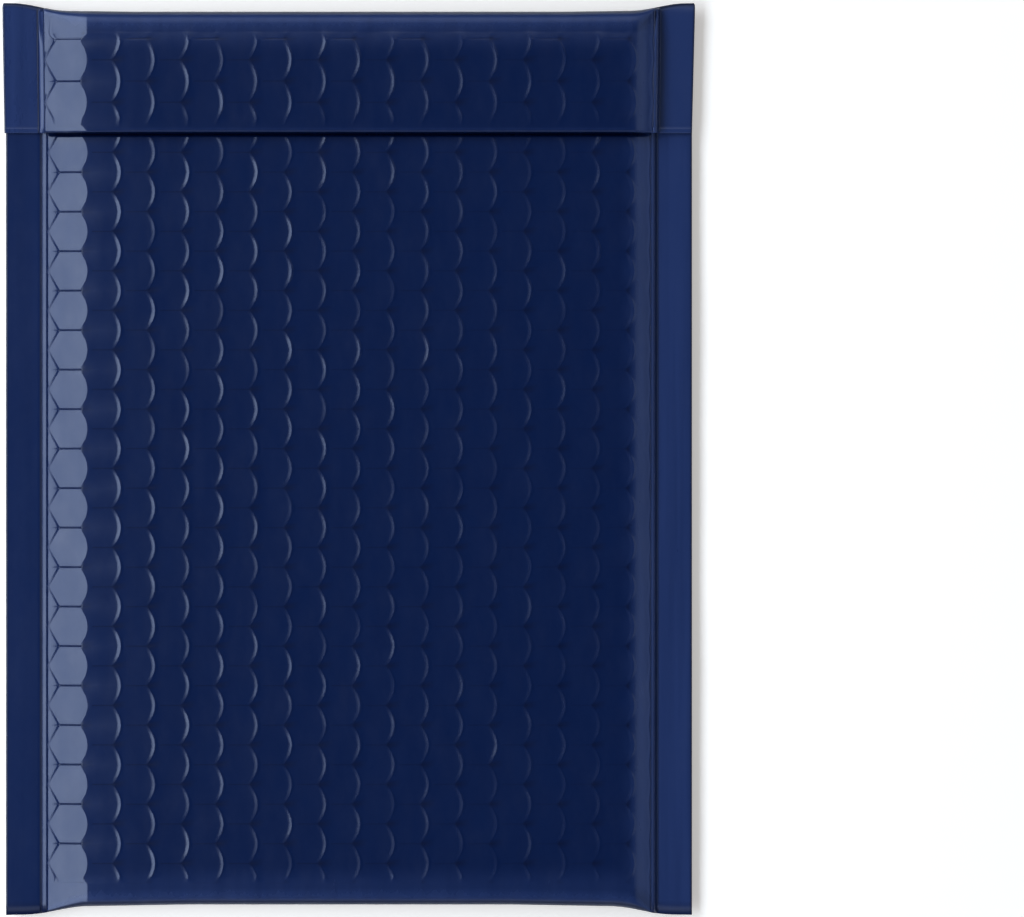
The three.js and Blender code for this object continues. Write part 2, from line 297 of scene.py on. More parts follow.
def fullness(x, lip_shares=LIP_SHARES):
    """0 at the seam, 1 over the level padding: a lip, then a shoulder, which is round at the right."""
    inward = SEAM_X + WEB_OVERLAP - np.abs(x)
    width = by_side(x, (LEFT_SHOULDER, RIGHT_SHOULDER))
    lip_share = by_side(x, lip_shares)
    lip = lip_share * np.sin(np.clip(inward / LIP_WIDTH, 0, 1) * math.pi / 2)
    ramp = np.clip((inward - LIP_WIDTH) / (width - LIP_WIDTH), 0, 1)
    ramp = np.where(np.asarray(x) < 0, ramp, 1 - (1 - ramp) ** RIGHT_ROUNDNESS)
    return lip + (1 - lip_share) * ramp


def field_fullness(x, ramp_end, lip_shares, follow):
    """Fullness along one row of a field. The left shoulder ends at the first rim, then rises slightly."""
    end = lerp(LEFT_SHOULDER - SEAM_X - WEB_OVERLAP, ramp_end, follow)
    shoulder = fullness(np.where(x < 0, np.minimum(x, end), x), lip_shares)
    rest = np.clip((x - end) / REST_WIDTH, 0, 1)
    return np.where(x < 0, lerp(shoulder, 1.0, 1 - (1 - rest) ** 2), shoulder)


def flap_spread(x, y):
    """How far out the flap's padding stands past the body's, near its two seams."""
    near = smooth(1 - (SEAM_X - np.abs(x)) / SPREAD_WIDTH)
    reach = np.clip((y - FLAP_EDGE_Y) / FLAP_LENGTH, 0, 1)
    return np.sign(x) * near * (SEAM_SPREAD[0] + SEAM_SPREAD[1] * reach)


def flap_under(x):
    inward = np.clip((SEAM_X - np.abs(x)) / UNDER_SHOULDER, 0, 1)
    return lerp(by_side(x, FLAP_SEAM_UNDERS), FLAP_UNDER, inward)


# Bubbles.

def column_x(k):
    return -SEAM_X + HEX_RADIUS + k * COLUMN_PITCH


def zigzag(y, k, phase, pitch):
    """1 where column k is widest, -1 on the grooves between its bubbles."""
    centre = phase + (k % 2) * pitch / 2
    turn = np.abs(((y - centre) / pitch + 0.5) % 1.0 - 0.5)
    return 1 - 4 * turn


def crest_x(dy, offset=CREST_OFFSET, curve=CREST_CURVE):
    """Where a bubble's raised right rim runs, from its middle, at dy above or below."""
    boundary = HEX_RADIUS - np.abs(dy) / math.sqrt(3)
    return np.minimum(offset - dy ** 2 / curve, boundary - CREST_GAP)


def rim_relief(dx, dy):
    """The film climbs gently to a rim at a bubble's right and drops off behind it."""
    inward = crest_x(dy) - dx
    towards = 1 - inward / CREST_SLOPE_WIDTH
    climb = lerp(np.clip(towards, 0, 1), smooth(towards), CREST_SOFTNESS)
    drop = np.clip(1 + inward / CREST_FALL_WIDTH, 0, 1)
    ends = smooth((CREST_END - np.abs(dy)) / CREST_END_FADE)
    return CREST_RISE * np.where(inward > 0, climb, drop) * ends


def hexagon_reach(dx, dy):
    """How far out from a bubble's middle a point is, towards its slanting edges and towards any edge."""
    slanting = np.maximum(np.abs(dx * COS30 + dy / 2), np.abs(dx * COS30 - dy / 2))
    return slanting, np.maximum(np.abs(dy), slanting)


def groove(reach):
    """Depth share of a groove at that reach from a bubble's middle."""
    return np.clip((reach - APOTHEM + GROOVE_WIDTH) / GROOVE_WIDTH, 0, 1)


def bubble_grooves(k, dx, dy, slanting, across):
    """Depth share and shade of the grooves round a bubble of column k, with the dark spots at its corners."""
    left = np.where((k == 0) & (dx < 0), LEFT_GROOVE, 0.0) * groove(slanting)
    level = np.where(k == 0, FIRST_GROOVE, LEVEL_GROOVE * (1 - LEVEL_WANE * across)) * groove(np.abs(dy))
    at_rim = (dx - SPOT_OFFSET) ** 2 + (np.abs(dy) - APOTHEM) ** 2
    at_left = (dx + HEX_RADIUS) ** 2 + dy ** 2
    dark = np.where(k > 0, SPOT_SHADE, 0.0) * np.exp(-np.minimum(at_rim, at_left) / SPOT_RADIUS ** 2)
    dark = np.maximum(dark, np.where(k == 0, GROOVE_SHADE, LEVEL_SHADE) * level)
    step_down = np.where(k == 0, STEP_SHADE * smooth((dx - HEX_RADIUS / 2) / GROOVE_ACROSS), 0.0)
    dark = np.maximum(dark, np.minimum(step_down * groove(slanting), 1.0))
    return np.maximum(level, left), dark


def bubble_differences(rows, seed):
    """How strong the rim of each bubble is, and how its face leans."""
    rng = np.random.RandomState(seed)
    strength = np.clip(rng.normal(CREST_STRENGTH, CREST_SCATTER, (COLUMNS, rows)), *CREST_LIMITS)
    lean = rng.normal(0.0, FACE_LEAN, (COLUMNS, rows, 2))
    return strength, lean


def one_bubble(k, dx, dy, strength, lean, down):
    """At dx, dy from a bubble's middle: the reach from it, the height, the groove depth and the shade.

    The rim wanes across the width, and more so further down the envelope."""
    across = (column_x(k) + SEAM_X) / (2 * SEAM_X)
    slanting, reach = hexagon_reach(dx, dy)
    deep, dark = bubble_grooves(k, dx, dy, slanting, across)
    wane = 1 - CREST_WANE[0] * across - CREST_WANE[1] * across * down
    rim = np.where(k == 0, 0.0, rim_relief(dx, dy) * strength * wane)
    calm = 1 - smooth((reach / APOTHEM - CALM_FROM) / (1 - CALM_FROM))
    tilt = (lean[..., 0] * dx + lean[..., 1] * dy) * calm
    return reach - TIE_BREAK * k, rim - GROOVE_DEPTH * deep + tilt, deep, dark


def bubble_relief(x, y, phase, pitch, seed):
    """Height over the bubbles' faces, how deep in a groove each point is, and its shade."""
    middle = int(2 * CORNER_Y / pitch) + 4
    strength, lean = bubble_differences(2 * middle, seed)
    nearest = np.rint((x - column_x(0)) / COLUMN_PITCH)
    down = 0.5 - y / (2 * CORNER_Y)
    best = np.full(x.shape, np.inf)
    found = [np.zeros(x.shape)] * 3
    for step in (-1, 0, 1):
        k = np.clip(nearest + step, 0, COLUMNS - 1)
        centre_y = phase + (k % 2) * pitch / 2
        row = np.rint((y - centre_y) / pitch)
        dx = x - column_x(k)
        dy = (y - centre_y - row * pitch) * PITCH / pitch
        cell = (k.astype(int), row.astype(int) + middle)
        reach, *own = one_bubble(k, dx, dy, strength[cell], lean[cell], down)
        found = [np.where(reach < best, new, old) for new, old in zip(own, found)]
        best = np.minimum(best, reach)
    return found


# Mesh lines across the width follow the bubbles' slanting edges.

def column_bounds(y, phase, pitch, follow):
    """Boundaries of the columns of bubbles at each y."""
    tilt = [HEX_RADIUS / 4 * zigzag(y, k, phase, pitch) * follow for k in range(COLUMNS)]
    tilt.append(-tilt[-1])
    return [column_x(k) - COLUMN_PITCH / 2 - tilt[k] for k in range(COLUMNS + 1)]


def column_lines(k, left, right, y, phase, pitch, follow):
    """Mesh lines over column k of bubbles, and where its rim runs."""
    dy = APOTHEM * (1 - zigzag(y, k, phase, pitch)) / 2
    rim = crest_x(dy, *FIRST_CREST) if k == 0 else crest_x(dy)
    crest = column_x(k) + lerp(STRAIGHT_CREST, rim, follow)
    lines = [left + offset for offset in LEFT_LINES[min(k, 2)]]
    lines += [lerp(lines[-1], crest - CREST_LINES[0], share) for share in FACE_SHARES]
    lines += [crest - offset for offset in CREST_LINES]
    lines += [lerp(crest, right - GROOVE_ACROSS, share) for share in RIGHT_SHARES[min(k, 1)]]
    return lines, crest


def web_lines(y, phase, pitch, follow):
    """X of every mesh line at each y, each line's zone (-1 left of the bubbles, 0 among them, 1 right), the
    columns' boundaries and the first column's rim."""
    bounds = column_bounds(y, phase, pitch, follow)
    room = bounds[0] + WEB_EDGE_X
    before = [np.minimum(offset, share * room) - WEB_EDGE_X for offset, share in SEAM_LINES]
    beside = lerp(before[-1], bounds[0], BESIDE_GROOVE_SHARE)
    before.append(np.maximum(bounds[0] - GROOVE_ACROSS, beside))
    among = []
    rims = []
    for k in range(COLUMNS):
        lines, rim = column_lines(k, bounds[k], bounds[k + 1], y, phase, pitch, follow)
        among += lines
        rims.append(rim)
    among.append(bounds[COLUMNS])
    after = [lerp(bounds[COLUMNS], WEB_EDGE_X, share) for share in RIGHT_BAND_SHARES]
    zones = np.array([-1] * len(before) + [0] * len(among) + [1] * len(after))
    return np.stack(before + among + after, axis=-1), zones, bounds, rims[0]


def lattice_rows(low, high, phase, pitch, lines):
    """Y of the rows between low and high, set by the lattice of the bubbles."""
    half = pitch / 2
    stretch = pitch / PITCH
    first = math.floor((low - phase) / half) - 1
    last = math.ceil((high - phase) / half) + 1
    rows = [phase + n * half + line * stretch for n in range(first, last) for line in lines]
    return np.array([row for row in rows if low <= row <= high])


def field_height(x_grid, y, phase, pitch, zones, bounds, low, high, seed, sunk=0.0):
    """Relief over one field of bubbles, faded out at its two ends and scaled down by the seams."""
    y_grid = np.repeat(y[:, None], x_grid.shape[1], axis=1)
    relief, depth, shade = bubble_relief(x_grid, y_grid, phase, pitch, seed)
    left = -GROOVE_DEPTH * LEFT_GROOVE * groove(APOTHEM - (bounds[0][:, None] - x_grid) * COS30)
    relief = np.where(zones[None, :] < 0, left, relief)
    relief = np.where(zones[None, :] > 0, 0.0, relief)
    ends = smooth((y_grid - low) / FIELD_FADE) * smooth((high - y_grid) / FIELD_FADE)
    by_seam = FIELD_SIDE_SHARE + (SEAM_X - np.abs(x_grid)) / FIELD_SIDE_WIDTH
    sides = np.clip(by_seam, FIELD_SIDE_SHARE, 1)
    among = np.where(zones[None, :] == 0, 1.0, 0.0)
    walled = np.where(ends > WALLS_FROM, among, 0.0)
    return (relief - sunk) * ends * sides, depth * walled, shade * among * ends


def field_rows(y, phase, pitch, follow, lip_shares, low, high, seed, sunk=0.0):
    """Each row of one field of bubbles: its y, x, fullness, relief, groove depth and shade."""
    lines, zones, bounds, ramp_end = web_lines(y, phase, pitch, follow)
    relief, depth, shade = field_height(lines, y, phase, pitch, zones, bounds, low, high, seed, sunk)
    for i, row_y in enumerate(y):
        full = field_fullness(lines[i], ramp_end[i], lip_shares, follow[i])
        yield row_y, lines[i], full, relief[i], depth[i], shade[i]


def fold_rows(x_row, start, nose, z_from, z_to, steps):
    """Rows of a rounded fold from one height to another, without its two end rows."""
    rows = []
    for i in range(1, steps):
        angle = math.pi * i / steps
        out = math.sin(angle) ** (1 / FOLD_SQUARENESS)
        rise = math.copysign(abs(math.cos(angle)) ** (1 / FOLD_SQUARENESS), math.cos(angle))
        y = start + (nose - start) * out
        z = (z_from + z_to) / 2 + (z_from - z_to) / 2 * rise
        rows.append((x_row, y, z))
    return rows


def top_lean(y):
    """How far the flap's crown has sunk at y, on its way into the top fold."""
    return TOP_LEAN * max(0.0, (y - TOP_LEAN_FROM) / (FLAP_HIGH - TOP_LEAN_FROM)) ** 2


def straight_lines():
    """X of the mesh lines where no bubbles bend them."""
    return web_lines(np.array([0.0]), 0.0, PITCH, 0.0)[0][0]


def right_band(x):
    """Mask of the plain film along the right seam."""
    return RIGHT_BAND_PALE * smooth((x - RIGHT_BAND_FROM) / RIGHT_BAND_FADE)


def left_painted_light(x):
    """Mask of painted light over the first bubbles, by the left seam."""
    return LEFT_PALE * smooth(1 - (x + SEAM_X) / LEFT_PALE_WIDTH)


def nose_shade(step, steps, reach):
    """Shade of a fold's row, by how near to its nose it is."""
    return NOSE_SHADE * float(np.clip(1 - (abs(step / steps - 0.5) - reach) / NOSE_FADE, 0, 1))


class WebRing:
    """The padded web's rows, one after another round its lengthwise section, and its heights at a fold."""

    def __init__(self):
        self.plain = straight_lines()
        self.share = fullness(self.plain)
        half = lerp(by_side(self.plain, SEAM_HALVES), FULL_HALF, self.share)
        flap_share = fullness(self.plain, FLAP_LIP_SHARES)
        self.over = lerp(by_side(self.plain, FLAP_SEAM_TOPS), FLAP_TOP, flap_share)
        self.under = flap_under(self.plain)
        self.front = MID_Z + half
        self.back = MID_Z - half
        self.slit = POCKET_HALF * np.clip(SLIT_AT_SEAM + self.share * SLIT_GROWTH, 0, 1)
        lip = np.clip(1 - (SEAM_X + WEB_OVERLAP - np.abs(self.plain)) / LIP_WIDTH, 0, 1)
        self.lip_shade = lip * (self.plain < 0)
        self.points = []
        self.masks = []
        self.depths = []
        self.shades = []

    def add(self, x, y, z, mask=0.0, deep=0.0, shade=0.0):
        shape = self.plain.shape
        self.points.append(np.stack((np.broadcast_to(x, shape), np.broadcast_to(y, shape), z), axis=-1))
        self.masks.append(np.broadcast_to(mask, shape))
        self.depths.append(np.broadcast_to(deep, shape))
        self.shades.append(np.maximum(self.lip_shade, shade))

    def add_straight(self, y, z, mask=0.0):
        self.add(self.plain, y, z, mask)

    def shell(self):
        """Points, masks, depths and shades, with the rows round the section as their second axis."""
        points = np.array(self.points).transpose(1, 0, 2)
        return points, np.array(self.masks).T, np.array(self.depths).T, np.array(self.shades).T


def add_flap(ring):
    """The flap, from its lower edge to the top fold."""
    low = FLAP_EDGE_Y + FLAP_EDGE_TAPER
    high = FLAP_HIGH + FLAP_FIELD_PAST
    field = np.union1d(lattice_rows(low, FLAP_HIGH, FLAP_PHASE, FLAP_PITCH, ROW_LINES), FLAP_HIGH - END_ROWS)
    y = np.concatenate([FLAP_EDGE_Y + EDGE_ROWS, field])
    follow = smooth((y - FLAP_EDGE_Y) / FLAP_EDGE_TAPER) * smooth((FLAP_HIGH - y) / FIELD_TAPER)
    rows = field_rows(y, FLAP_PHASE, FLAP_PITCH, follow, FLAP_LIP_SHARES, low, high, FLAP_SEED)
    for row_y, x, full, relief, depth, shade in rows:
        over = lerp(by_side(x, FLAP_SEAM_TOPS), FLAP_TOP, full)
        from_edge = row_y - FLAP_EDGE_Y
        rounding = math.sqrt(min(1.0, from_edge / EDGE_ROUND))
        z = lerp(flap_under(x) + EDGE_THICKNESS, over - EDGE_BAND_DROP, rounding)
        z = lerp(z, over, smooth((from_edge - EDGE_ROUND) / (FLAP_EDGE_TAPER - EDGE_ROUND)))
        ridge = math.exp(-((from_edge - EDGE_RIDGE_AT) / EDGE_RIDGE_WIDTH) ** 2)
        z = z + EDGE_RIDGE_RISE * ridge + relief - top_lean(row_y)
        # Painted highlight on the edge's ridge, and painted light near the top fold and by the left seam.
        pale = max(EDGE_RIDGE_HIGHLIGHT * ridge, FOLD_PAINTED_LIGHT * smooth(1 - (FLAP_HIGH - row_y) / FOLD_PALE_WIDTH))
        mask = np.maximum(right_band(x) + left_painted_light(x), pale)
        ring.add(x + flap_spread(x, row_y), row_y, z, mask, depth, shade)


def add_top_fold(ring):
    """The top fold, with painted light growing towards its nose and painted shade on the nose itself."""
    start = top_y(ring.plain) - lerp(FOLD_AT_SEAM, TOP_FOLD_DEPTH, ring.share)
    over = ring.over - TOP_LEAN * TOP_LEAN_PAST
    spread = flap_spread(ring.plain, CORNER_Y)
    ring.add(ring.plain + spread, start, over, FOLD_PAINTED_LIGHT)
    folded = fold_rows(ring.plain, start, top_y(ring.plain), over, ring.back, TOP_FOLD_STEPS)
    for i, (x, y, z) in enumerate(folded):
        turned = 0.5 + 0.5 * math.cos(math.pi * (i + 1) / TOP_FOLD_STEPS)
        pale = lerp(FOLD_PAINTED_LIGHT, 1.0, min(1.0, (i + 1.5) / FOLD_PALE_STEPS))
        ring.add(x + spread * turned, y, z, pale, 0.0, nose_shade(i + 1, TOP_FOLD_STEPS, TOP_NOSE))
    ring.add_straight(start, ring.back, FOLD_PAINTED_LIGHT)


def add_back(ring):
    """The back, lying on the surface, from the top fold to the bottom one."""
    y = lattice_rows(FRONT_LOW, BACK_HIGH, BACK_PHASE, PITCH, BACK_ROW_LINES)[::-1]
    follow = np.ones(len(y))
    rows = field_rows(y, BACK_PHASE, PITCH, follow, LIP_SHARES, FRONT_LOW, BACK_HIGH, BACK_SEED, BACK_SUNK)
    for row_y, x, full, relief, depth, shade in rows:
        half = lerp(by_side(x, SEAM_HALVES), FULL_HALF, full)
        ring.add(x, row_y, MID_Z - half - relief, right_band(x), depth, shade)


def add_bottom_fold(ring):
    """The bottom fold, with painted light over it and painted shade on its nose, as at the top."""
    start = bottom_y(ring.plain) + lerp(FOLD_AT_SEAM, BOTTOM_FOLD_DEPTH, ring.share)
    ring.add_straight(start, ring.back, FOLD_PAINTED_LIGHT)
    folded = fold_rows(ring.plain, start, bottom_y(ring.plain), ring.back, ring.front, BOTTOM_FOLD_STEPS)
    for i, (x, y, z) in enumerate(folded):
        pale = lerp(FOLD_PAINTED_LIGHT, 1.0, min(1.0, (BOTTOM_FOLD_STEPS - 0.5 - i) / FOLD_PALE_STEPS))
        ring.add(x, y, z, pale, 0.0, nose_shade(i + 1, BOTTOM_FOLD_STEPS, BOTTOM_NOSE))
    ring.add_straight(start, ring.front, FOLD_PAINTED_LIGHT)


def add_front(ring):
    """The front: bubbles up to just under the flap, then plain film to the mouth."""
    high = FLAP_EDGE_Y + FRONT_PAST_EDGE
    field = lattice_rows(FRONT_LOW, high, FRONT_PHASE, PITCH, ROW_LINES)
    y = np.union1d(np.union1d(field, FLAP_EDGE_Y + DIP_ROWS), FRONT_LOW + END_ROWS)
    follow = smooth((y - FRONT_LOW) / FIELD_TAPER)
    rows = field_rows(y, FRONT_PHASE, PITCH, follow, LIP_SHARES, FRONT_LOW, high, FRONT_SEED)
    for row_y, x, full, relief, depth, shade in rows:
        half = lerp(by_side(x, SEAM_HALVES), FULL_HALF, full)
        dip = DIP_DEPTH * smooth((row_y - FLAP_EDGE_Y + DIP_BELOW) / DIP_WIDTH)
        dip_here = dip * np.clip((SEAM_X - np.abs(x)) / DIP_FROM_SEAM, 0, 1)
        # Painted light by the bottom fold, and painted shadow just under the flap's edge.
        pale = FOLD_PAINTED_LIGHT * smooth(1 - (row_y - FRONT_LOW) / FOLD_PALE_WIDTH)
        mask = np.maximum(right_band(x) + left_painted_light(x), pale)
        dark = DIP_SHADE * smooth(1 - (FLAP_EDGE_Y - row_y) / DIP_SHADE_WIDTH)
        ring.add(x, row_y, MID_Z + half + relief - dip_here, mask, depth, np.maximum(shade, dark))
    hidden_z = ring.front - DIP_DEPTH * np.clip(ring.share, DIP_LEAST, 1)
    for row_y in (high + HIDDEN_STEP, HIDDEN_ROW_Y, MOUTH_Y - MOUTH_TAPER):
        ring.add_straight(row_y, hidden_z)
    ring.add_straight(MOUTH_Y, np.minimum(MID_Z + ring.slit + EDGE_THICKNESS, hidden_z))


def add_inside(ring):
    """The pocket, the inside of the top fold, and the flap's inner face."""
    ring.add_straight(MOUTH_Y, MID_Z + ring.slit * SLIT_AT_MOUTH)
    pocket_end = bottom_y(ring.plain) + BOTTOM_FOLD_WALL
    ring.add_straight(pocket_end, MID_Z + ring.slit)
    ring.add_straight(pocket_end, MID_Z - ring.slit)
    start = top_y(ring.plain) - lerp(FOLD_AT_SEAM, TOP_FOLD_DEPTH, ring.share)
    nose = top_y(ring.plain) - lerp(FOLD_WALL_AT_SEAM, TOP_FOLD_WALL, ring.share)
    ring.add_straight(start, MID_Z - ring.slit)
    for x, y, z in fold_rows(ring.plain, start, nose, MID_Z - ring.slit, ring.under, INNER_FOLD_STEPS):
        ring.add(x, y, z)
    ring.add_straight(start, ring.under)


def padded_web():
    """The padded web as one closed ring of rows round its section."""
    ring = WebRing()
    for add_part in (add_flap, add_top_fold, add_back, add_bottom_fold, add_front, add_inside):
        add_part(ring)
    return ring.shell()


class SealLine:
    """One mesh line round a side seal: front and back welded into one strip, with the flap's margin over it.

    Each of its rows is y, z, the seal's mask, a share of the flap's spread and a shade."""

    def __init__(self, x, side, rises, phases):
        bead, flap_bead = rises
        self.loose = max(0.0, (x - SEAM_X - BEAD_WIDTH) / SEAL_MARGIN)
        self.phases = phases
        self.outward = float(np.clip((x - SEAM_X) / BEAD_WIDTH, 0, 1))
        self.fold = lerp(FOLD_AT_SEAM, FOLD_AT_EDGE, self.outward)
        seam_under = float(by_side(side, FLAP_SEAM_UNDERS)) + SEAM_UNDER_LIFT
        self.under = lerp(seam_under, FLAP_SEAL_UNDER, self.outward)
        self.low = MID_Z - SEAL_HALF - bead
        self.high = MID_Z + SEAL_HALF + bead
        self.over = FLAP_SEAL_UNDER + FLAP_SEAL_THICKNESS + flap_bead
        self.fold_y = float(top_y(x)) - self.fold
        self.bottom = float(bottom_y(x))
        self.mask = SEAL_MASKS[side]
        self.flap_mask = FLAP_SEAL_MASKS[side]

    def wave(self, y):
        """Height of the margin's waves at y. They grow towards its loose edge."""
        waves = zip(MARGIN_WAVES, self.phases)
        return self.loose * sum(height * math.sin(y * pace + phase) for (pace, height), phase in waves)

    def flap_rows(self):
        yield FLAP_EDGE_Y, self.under, self.flap_mask, 1.0, SEAL_EDGE_SHADE
        rest = np.linspace(FLAP_EDGE_Y + SEAL_FLAP_FROM, self.fold_y, SEAL_FLAP_ROWS)
        for y in np.concatenate([FLAP_EDGE_Y + SEAL_EDGE_ROWS, rest]):
            ridge = math.exp(-((y - FLAP_EDGE_Y - EDGE_RIDGE_AT) / EDGE_RIDGE_WIDTH) ** 2)
            edge_drop = EDGE_BAND_DROP * float(smooth(1 - (y - FLAP_EDGE_Y) / FLAP_EDGE_TAPER))
            sunk = lerp(edge_drop + top_lean(y), 0.0, self.outward)
            z = self.over - sunk + SEAL_RIDGE_RISE * ridge + self.wave(y)
            yield y, z, self.flap_mask, 1.0, 0.0

    def fold_rows(self):
        over = self.over - lerp(TOP_LEAN, 0.0, self.outward)
        for i in range(1, SEAL_FOLD_STEPS):
            angle = math.pi * i / SEAL_FOLD_STEPS
            y = self.fold_y + self.fold * math.sin(angle)
            z = (over + self.low) / 2 + (over - self.low) / 2 * math.cos(angle)
            yield y, z, self.flap_mask, 0.5 + 0.5 * math.cos(angle), min(1.0, i / SEAL_FOLD_SHADE_STEPS)

    def body_rows(self):
        steps = np.linspace(self.fold_y, self.bottom, SEAL_BODY_ROWS)
        for y in steps:
            yield y, self.low + self.wave(y), self.mask, 0.0, 0.0
        for y in steps[::-1]:
            by_flap = smooth(1 - (FLAP_EDGE_Y - y) / SEAL_UNDER_FLAP_WIDTH)
            shade = SEAL_END_SHADE * float(by_flap + smooth(1 - (y - self.bottom) / SEAL_BOTTOM_WIDTH))
            yield y, self.high + self.wave(y), self.mask, 0.0, min(1.0, shade)

    def inner_rows(self):
        for i in range(1, SEAL_INNER_STEPS):
            angle = math.pi * i / SEAL_INNER_STEPS
            y = self.fold_y + self.fold * SEAL_INNER_REACH * math.sin(angle)
            z = (self.high + self.under) / 2 - (self.under - self.high) / 2 * math.cos(angle)
            yield y, z, self.flap_mask, i / SEAL_INNER_STEPS, 0.0
        yield self.fold_y, self.under, self.flap_mask, 1.0, 0.0

    def rows(self):
        return np.array([*self.flap_rows(), *self.fold_rows(), *self.body_rows(), *self.inner_rows()])


def seal_stations(side):
    """Distance from the middle, rises over the margin on the body and on the flap, and shade of each line."""
    first, flap_first = BEADS[side][0][1:3]
    hidden = INNER_DROPS[side]
    stations = [(SEAM_X - BEAD_WIDTH / 4, ((first - hidden) / 1000, (flap_first - hidden) / 1000), 0.0)]
    for millimetres, rise, flap_rise, shade in BEADS[side]:
        stations.append((SEAM_X + millimetres / 1000, (rise / 1000, flap_rise / 1000), shade))
    flap_rest = BEADS[side][-1][2] / 1000
    for distance, shade in MARGIN_STATIONS:
        rise = flap_rest * (1 - distance / SEAL_MARGIN)
        stations.append((SEAM_X + BEAD_WIDTH + distance, (0.0, rise), shade))
    return stations


def side_seal(side):
    """One margin: the weld by the padding, a crease, then flat film to the edge."""
    phases = np.random.RandomState(SEAL_SEEDS[side]).uniform(0, 2 * math.pi, 4)
    rings = []
    masks = []
    shades = []
    for x, rises, station_shade in seal_stations(side):
        line = SealLine(x, side, rises, phases)
        y, z, mask, share, shade = line.rows().T
        reach = np.clip((y - FLAP_EDGE_Y) / FLAP_LENGTH, 0, 1)
        at_seam = SEAM_SPREAD[0] + SEAM_SPREAD[1] * reach
        at_edge = EDGE_SPREADS[side][0] + EDGE_SPREADS[side][1] * reach
        spread = lerp(at_seam, at_edge, line.loose) * share
        sag = MARGIN_SAG[side] * SEAL_MARGIN * line.loose
        rings.append(np.stack([side * (x + spread), y, z - sag], axis=-1))
        masks.append(mask)
        shades.append(np.maximum(shade, station_shade))
    return np.array(rings), np.array(masks), np.array(shades)


def add_grid_faces(built, verts, depth):
    """Faces between the grid's lines, flat where they are the wall of a groove, and a cap at each end."""
    count, around = depth.shape
    for r in range(count - 1):
        for c in range(around):
            following = (c + 1) % around
            corners = (verts[r][c], verts[r + 1][c], verts[r + 1][following], verts[r][following])
            deeps = (depth[r, c], depth[r + 1, c], depth[r + 1, following], depth[r, following])
            built.faces.new(corners).smooth = bool(max(deeps) - min(deeps) < WALL_DEPTH)
    built.faces.new(verts[0])
    built.faces.new(list(reversed(verts[-1])))


def closed_mesh(name, shells):
    """One mesh from closed grids. A grid's second axis wraps round; its first has capped ends."""
    built = bmesh.new()
    # Per-vertex paleness, the weld's own tone with painted light, and painted shade.
    weld_and_light_layer = built.verts.layers.float.new("seal")
    shade_layer = built.verts.layers.float.new("shade")
    for grid, mask, depth, shade in shells:
        verts = []
        for r, line in enumerate(grid):
            verts.append([built.verts.new(point) for point in line])
            for c, vert in enumerate(verts[-1]):
                vert[weld_and_light_layer] = float(mask[r, c])
                vert[shade_layer] = float(shade[r, c])
        add_grid_faces(built, verts, depth)
    bmesh.ops.recalc_face_normals(built, faces=built.faces)
    mesh = bpy.data.meshes.new(name)
    built.to_mesh(mesh)
    built.free()
    piece = bpy.data.objects.new(name, mesh)
    bpy.context.scene.collection.objects.link(piece)
    return piece


def make_web():
    """The whole web: the padded part and its two welded margins, as three closed shells in one mesh."""
    shells = [padded_web()]
    for side in (-1, 1):
        rings, masks, shades = side_seal(side)
        shells.append((rings, masks, np.zeros(masks.shape), shades))
    return closed_mesh("mailer_web", shells)


# Materials.

class Socket:
    """Shader maths as Python expressions on one output socket."""

    def __init__(self, shader, output):
        self.shader = shader
        self.output = output

    def _math(self, operation, first, second):
        return self.shader.node("ShaderNodeMath", {"operation": operation}, [first, second])

    def __add__(self, other):
        return self._math("ADD", self, other)

    def __radd__(self, other):
        return self._math("ADD", other, self)

    def __sub__(self, other):
        return self._math("SUBTRACT", self, other)

    def __rsub__(self, other):
        return self._math("SUBTRACT", other, self)

    def __mul__(self, other):
        return self._math("MULTIPLY", self, other)

    def __rmul__(self, other):
        return self._math("MULTIPLY", other, self)


class Shader:
    """A material and the one method that adds any node to it."""

    def __init__(self, name):
        self.material = bpy.data.materials.new(name)
        self.material.use_nodes = True
        self.tree = self.material.node_tree
        self.principled = self.tree.nodes["Principled BSDF"]

    def node(self, kind, settings=None, inputs=(), output=0):
        made = self.tree.nodes.new(kind)
        for key, value in (settings or {}).items():
            setattr(made, key, value)
        pairs = inputs.items() if isinstance(inputs, dict) else enumerate(inputs)
        for key, value in pairs:
            self.feed(made.inputs[key], value)
        return Socket(self, made.outputs[output])

    def feed(self, socket, value):
        if isinstance(value, Socket):
            self.tree.links.new(value.output, socket)
        else:
            socket.default_value = value

    def surface(self, name, value):
        self.feed(self.principled.inputs[name], value)

    def noise(self, stretch, scale, detail, roughness):
        coords = self.node("ShaderNodeTexCoord", output="Object")
        vector = self.node("ShaderNodeMapping", {}, {"Vector": coords, "Scale": stretch})
        inputs = {"Vector": vector, "Scale": scale, "Detail": detail, "Roughness": roughness}
        return self.node("ShaderNodeTexNoise", {}, inputs, "Fac")

    def attribute(self, name):
        return self.node("ShaderNodeAttribute", {"attribute_name": name}, output="Fac")

    def bump(self, strength, distance, height):
        inputs = {"Strength": strength, "Distance": distance, "Height": height}
        self.surface("Normal", self.node("ShaderNodeBump", {}, inputs, "Normal"))

    def mix(self, factor, first, second):
        settings = {"data_type": "RGBA"}
        return self.node("ShaderNodeMix", settings, {0: factor, 6: first, 7: second}, 2)


# Noises are stretch, scale, detail and roughness. Bumps are strength and distance. Other pairs are a value
# and how much more the noise adds.
FILM_FIELD = (0.0005, 0.0080, 0.0515, 1)
FILM_FIELD_PALE = (0.0012, 0.0108, 0.0625, 1)
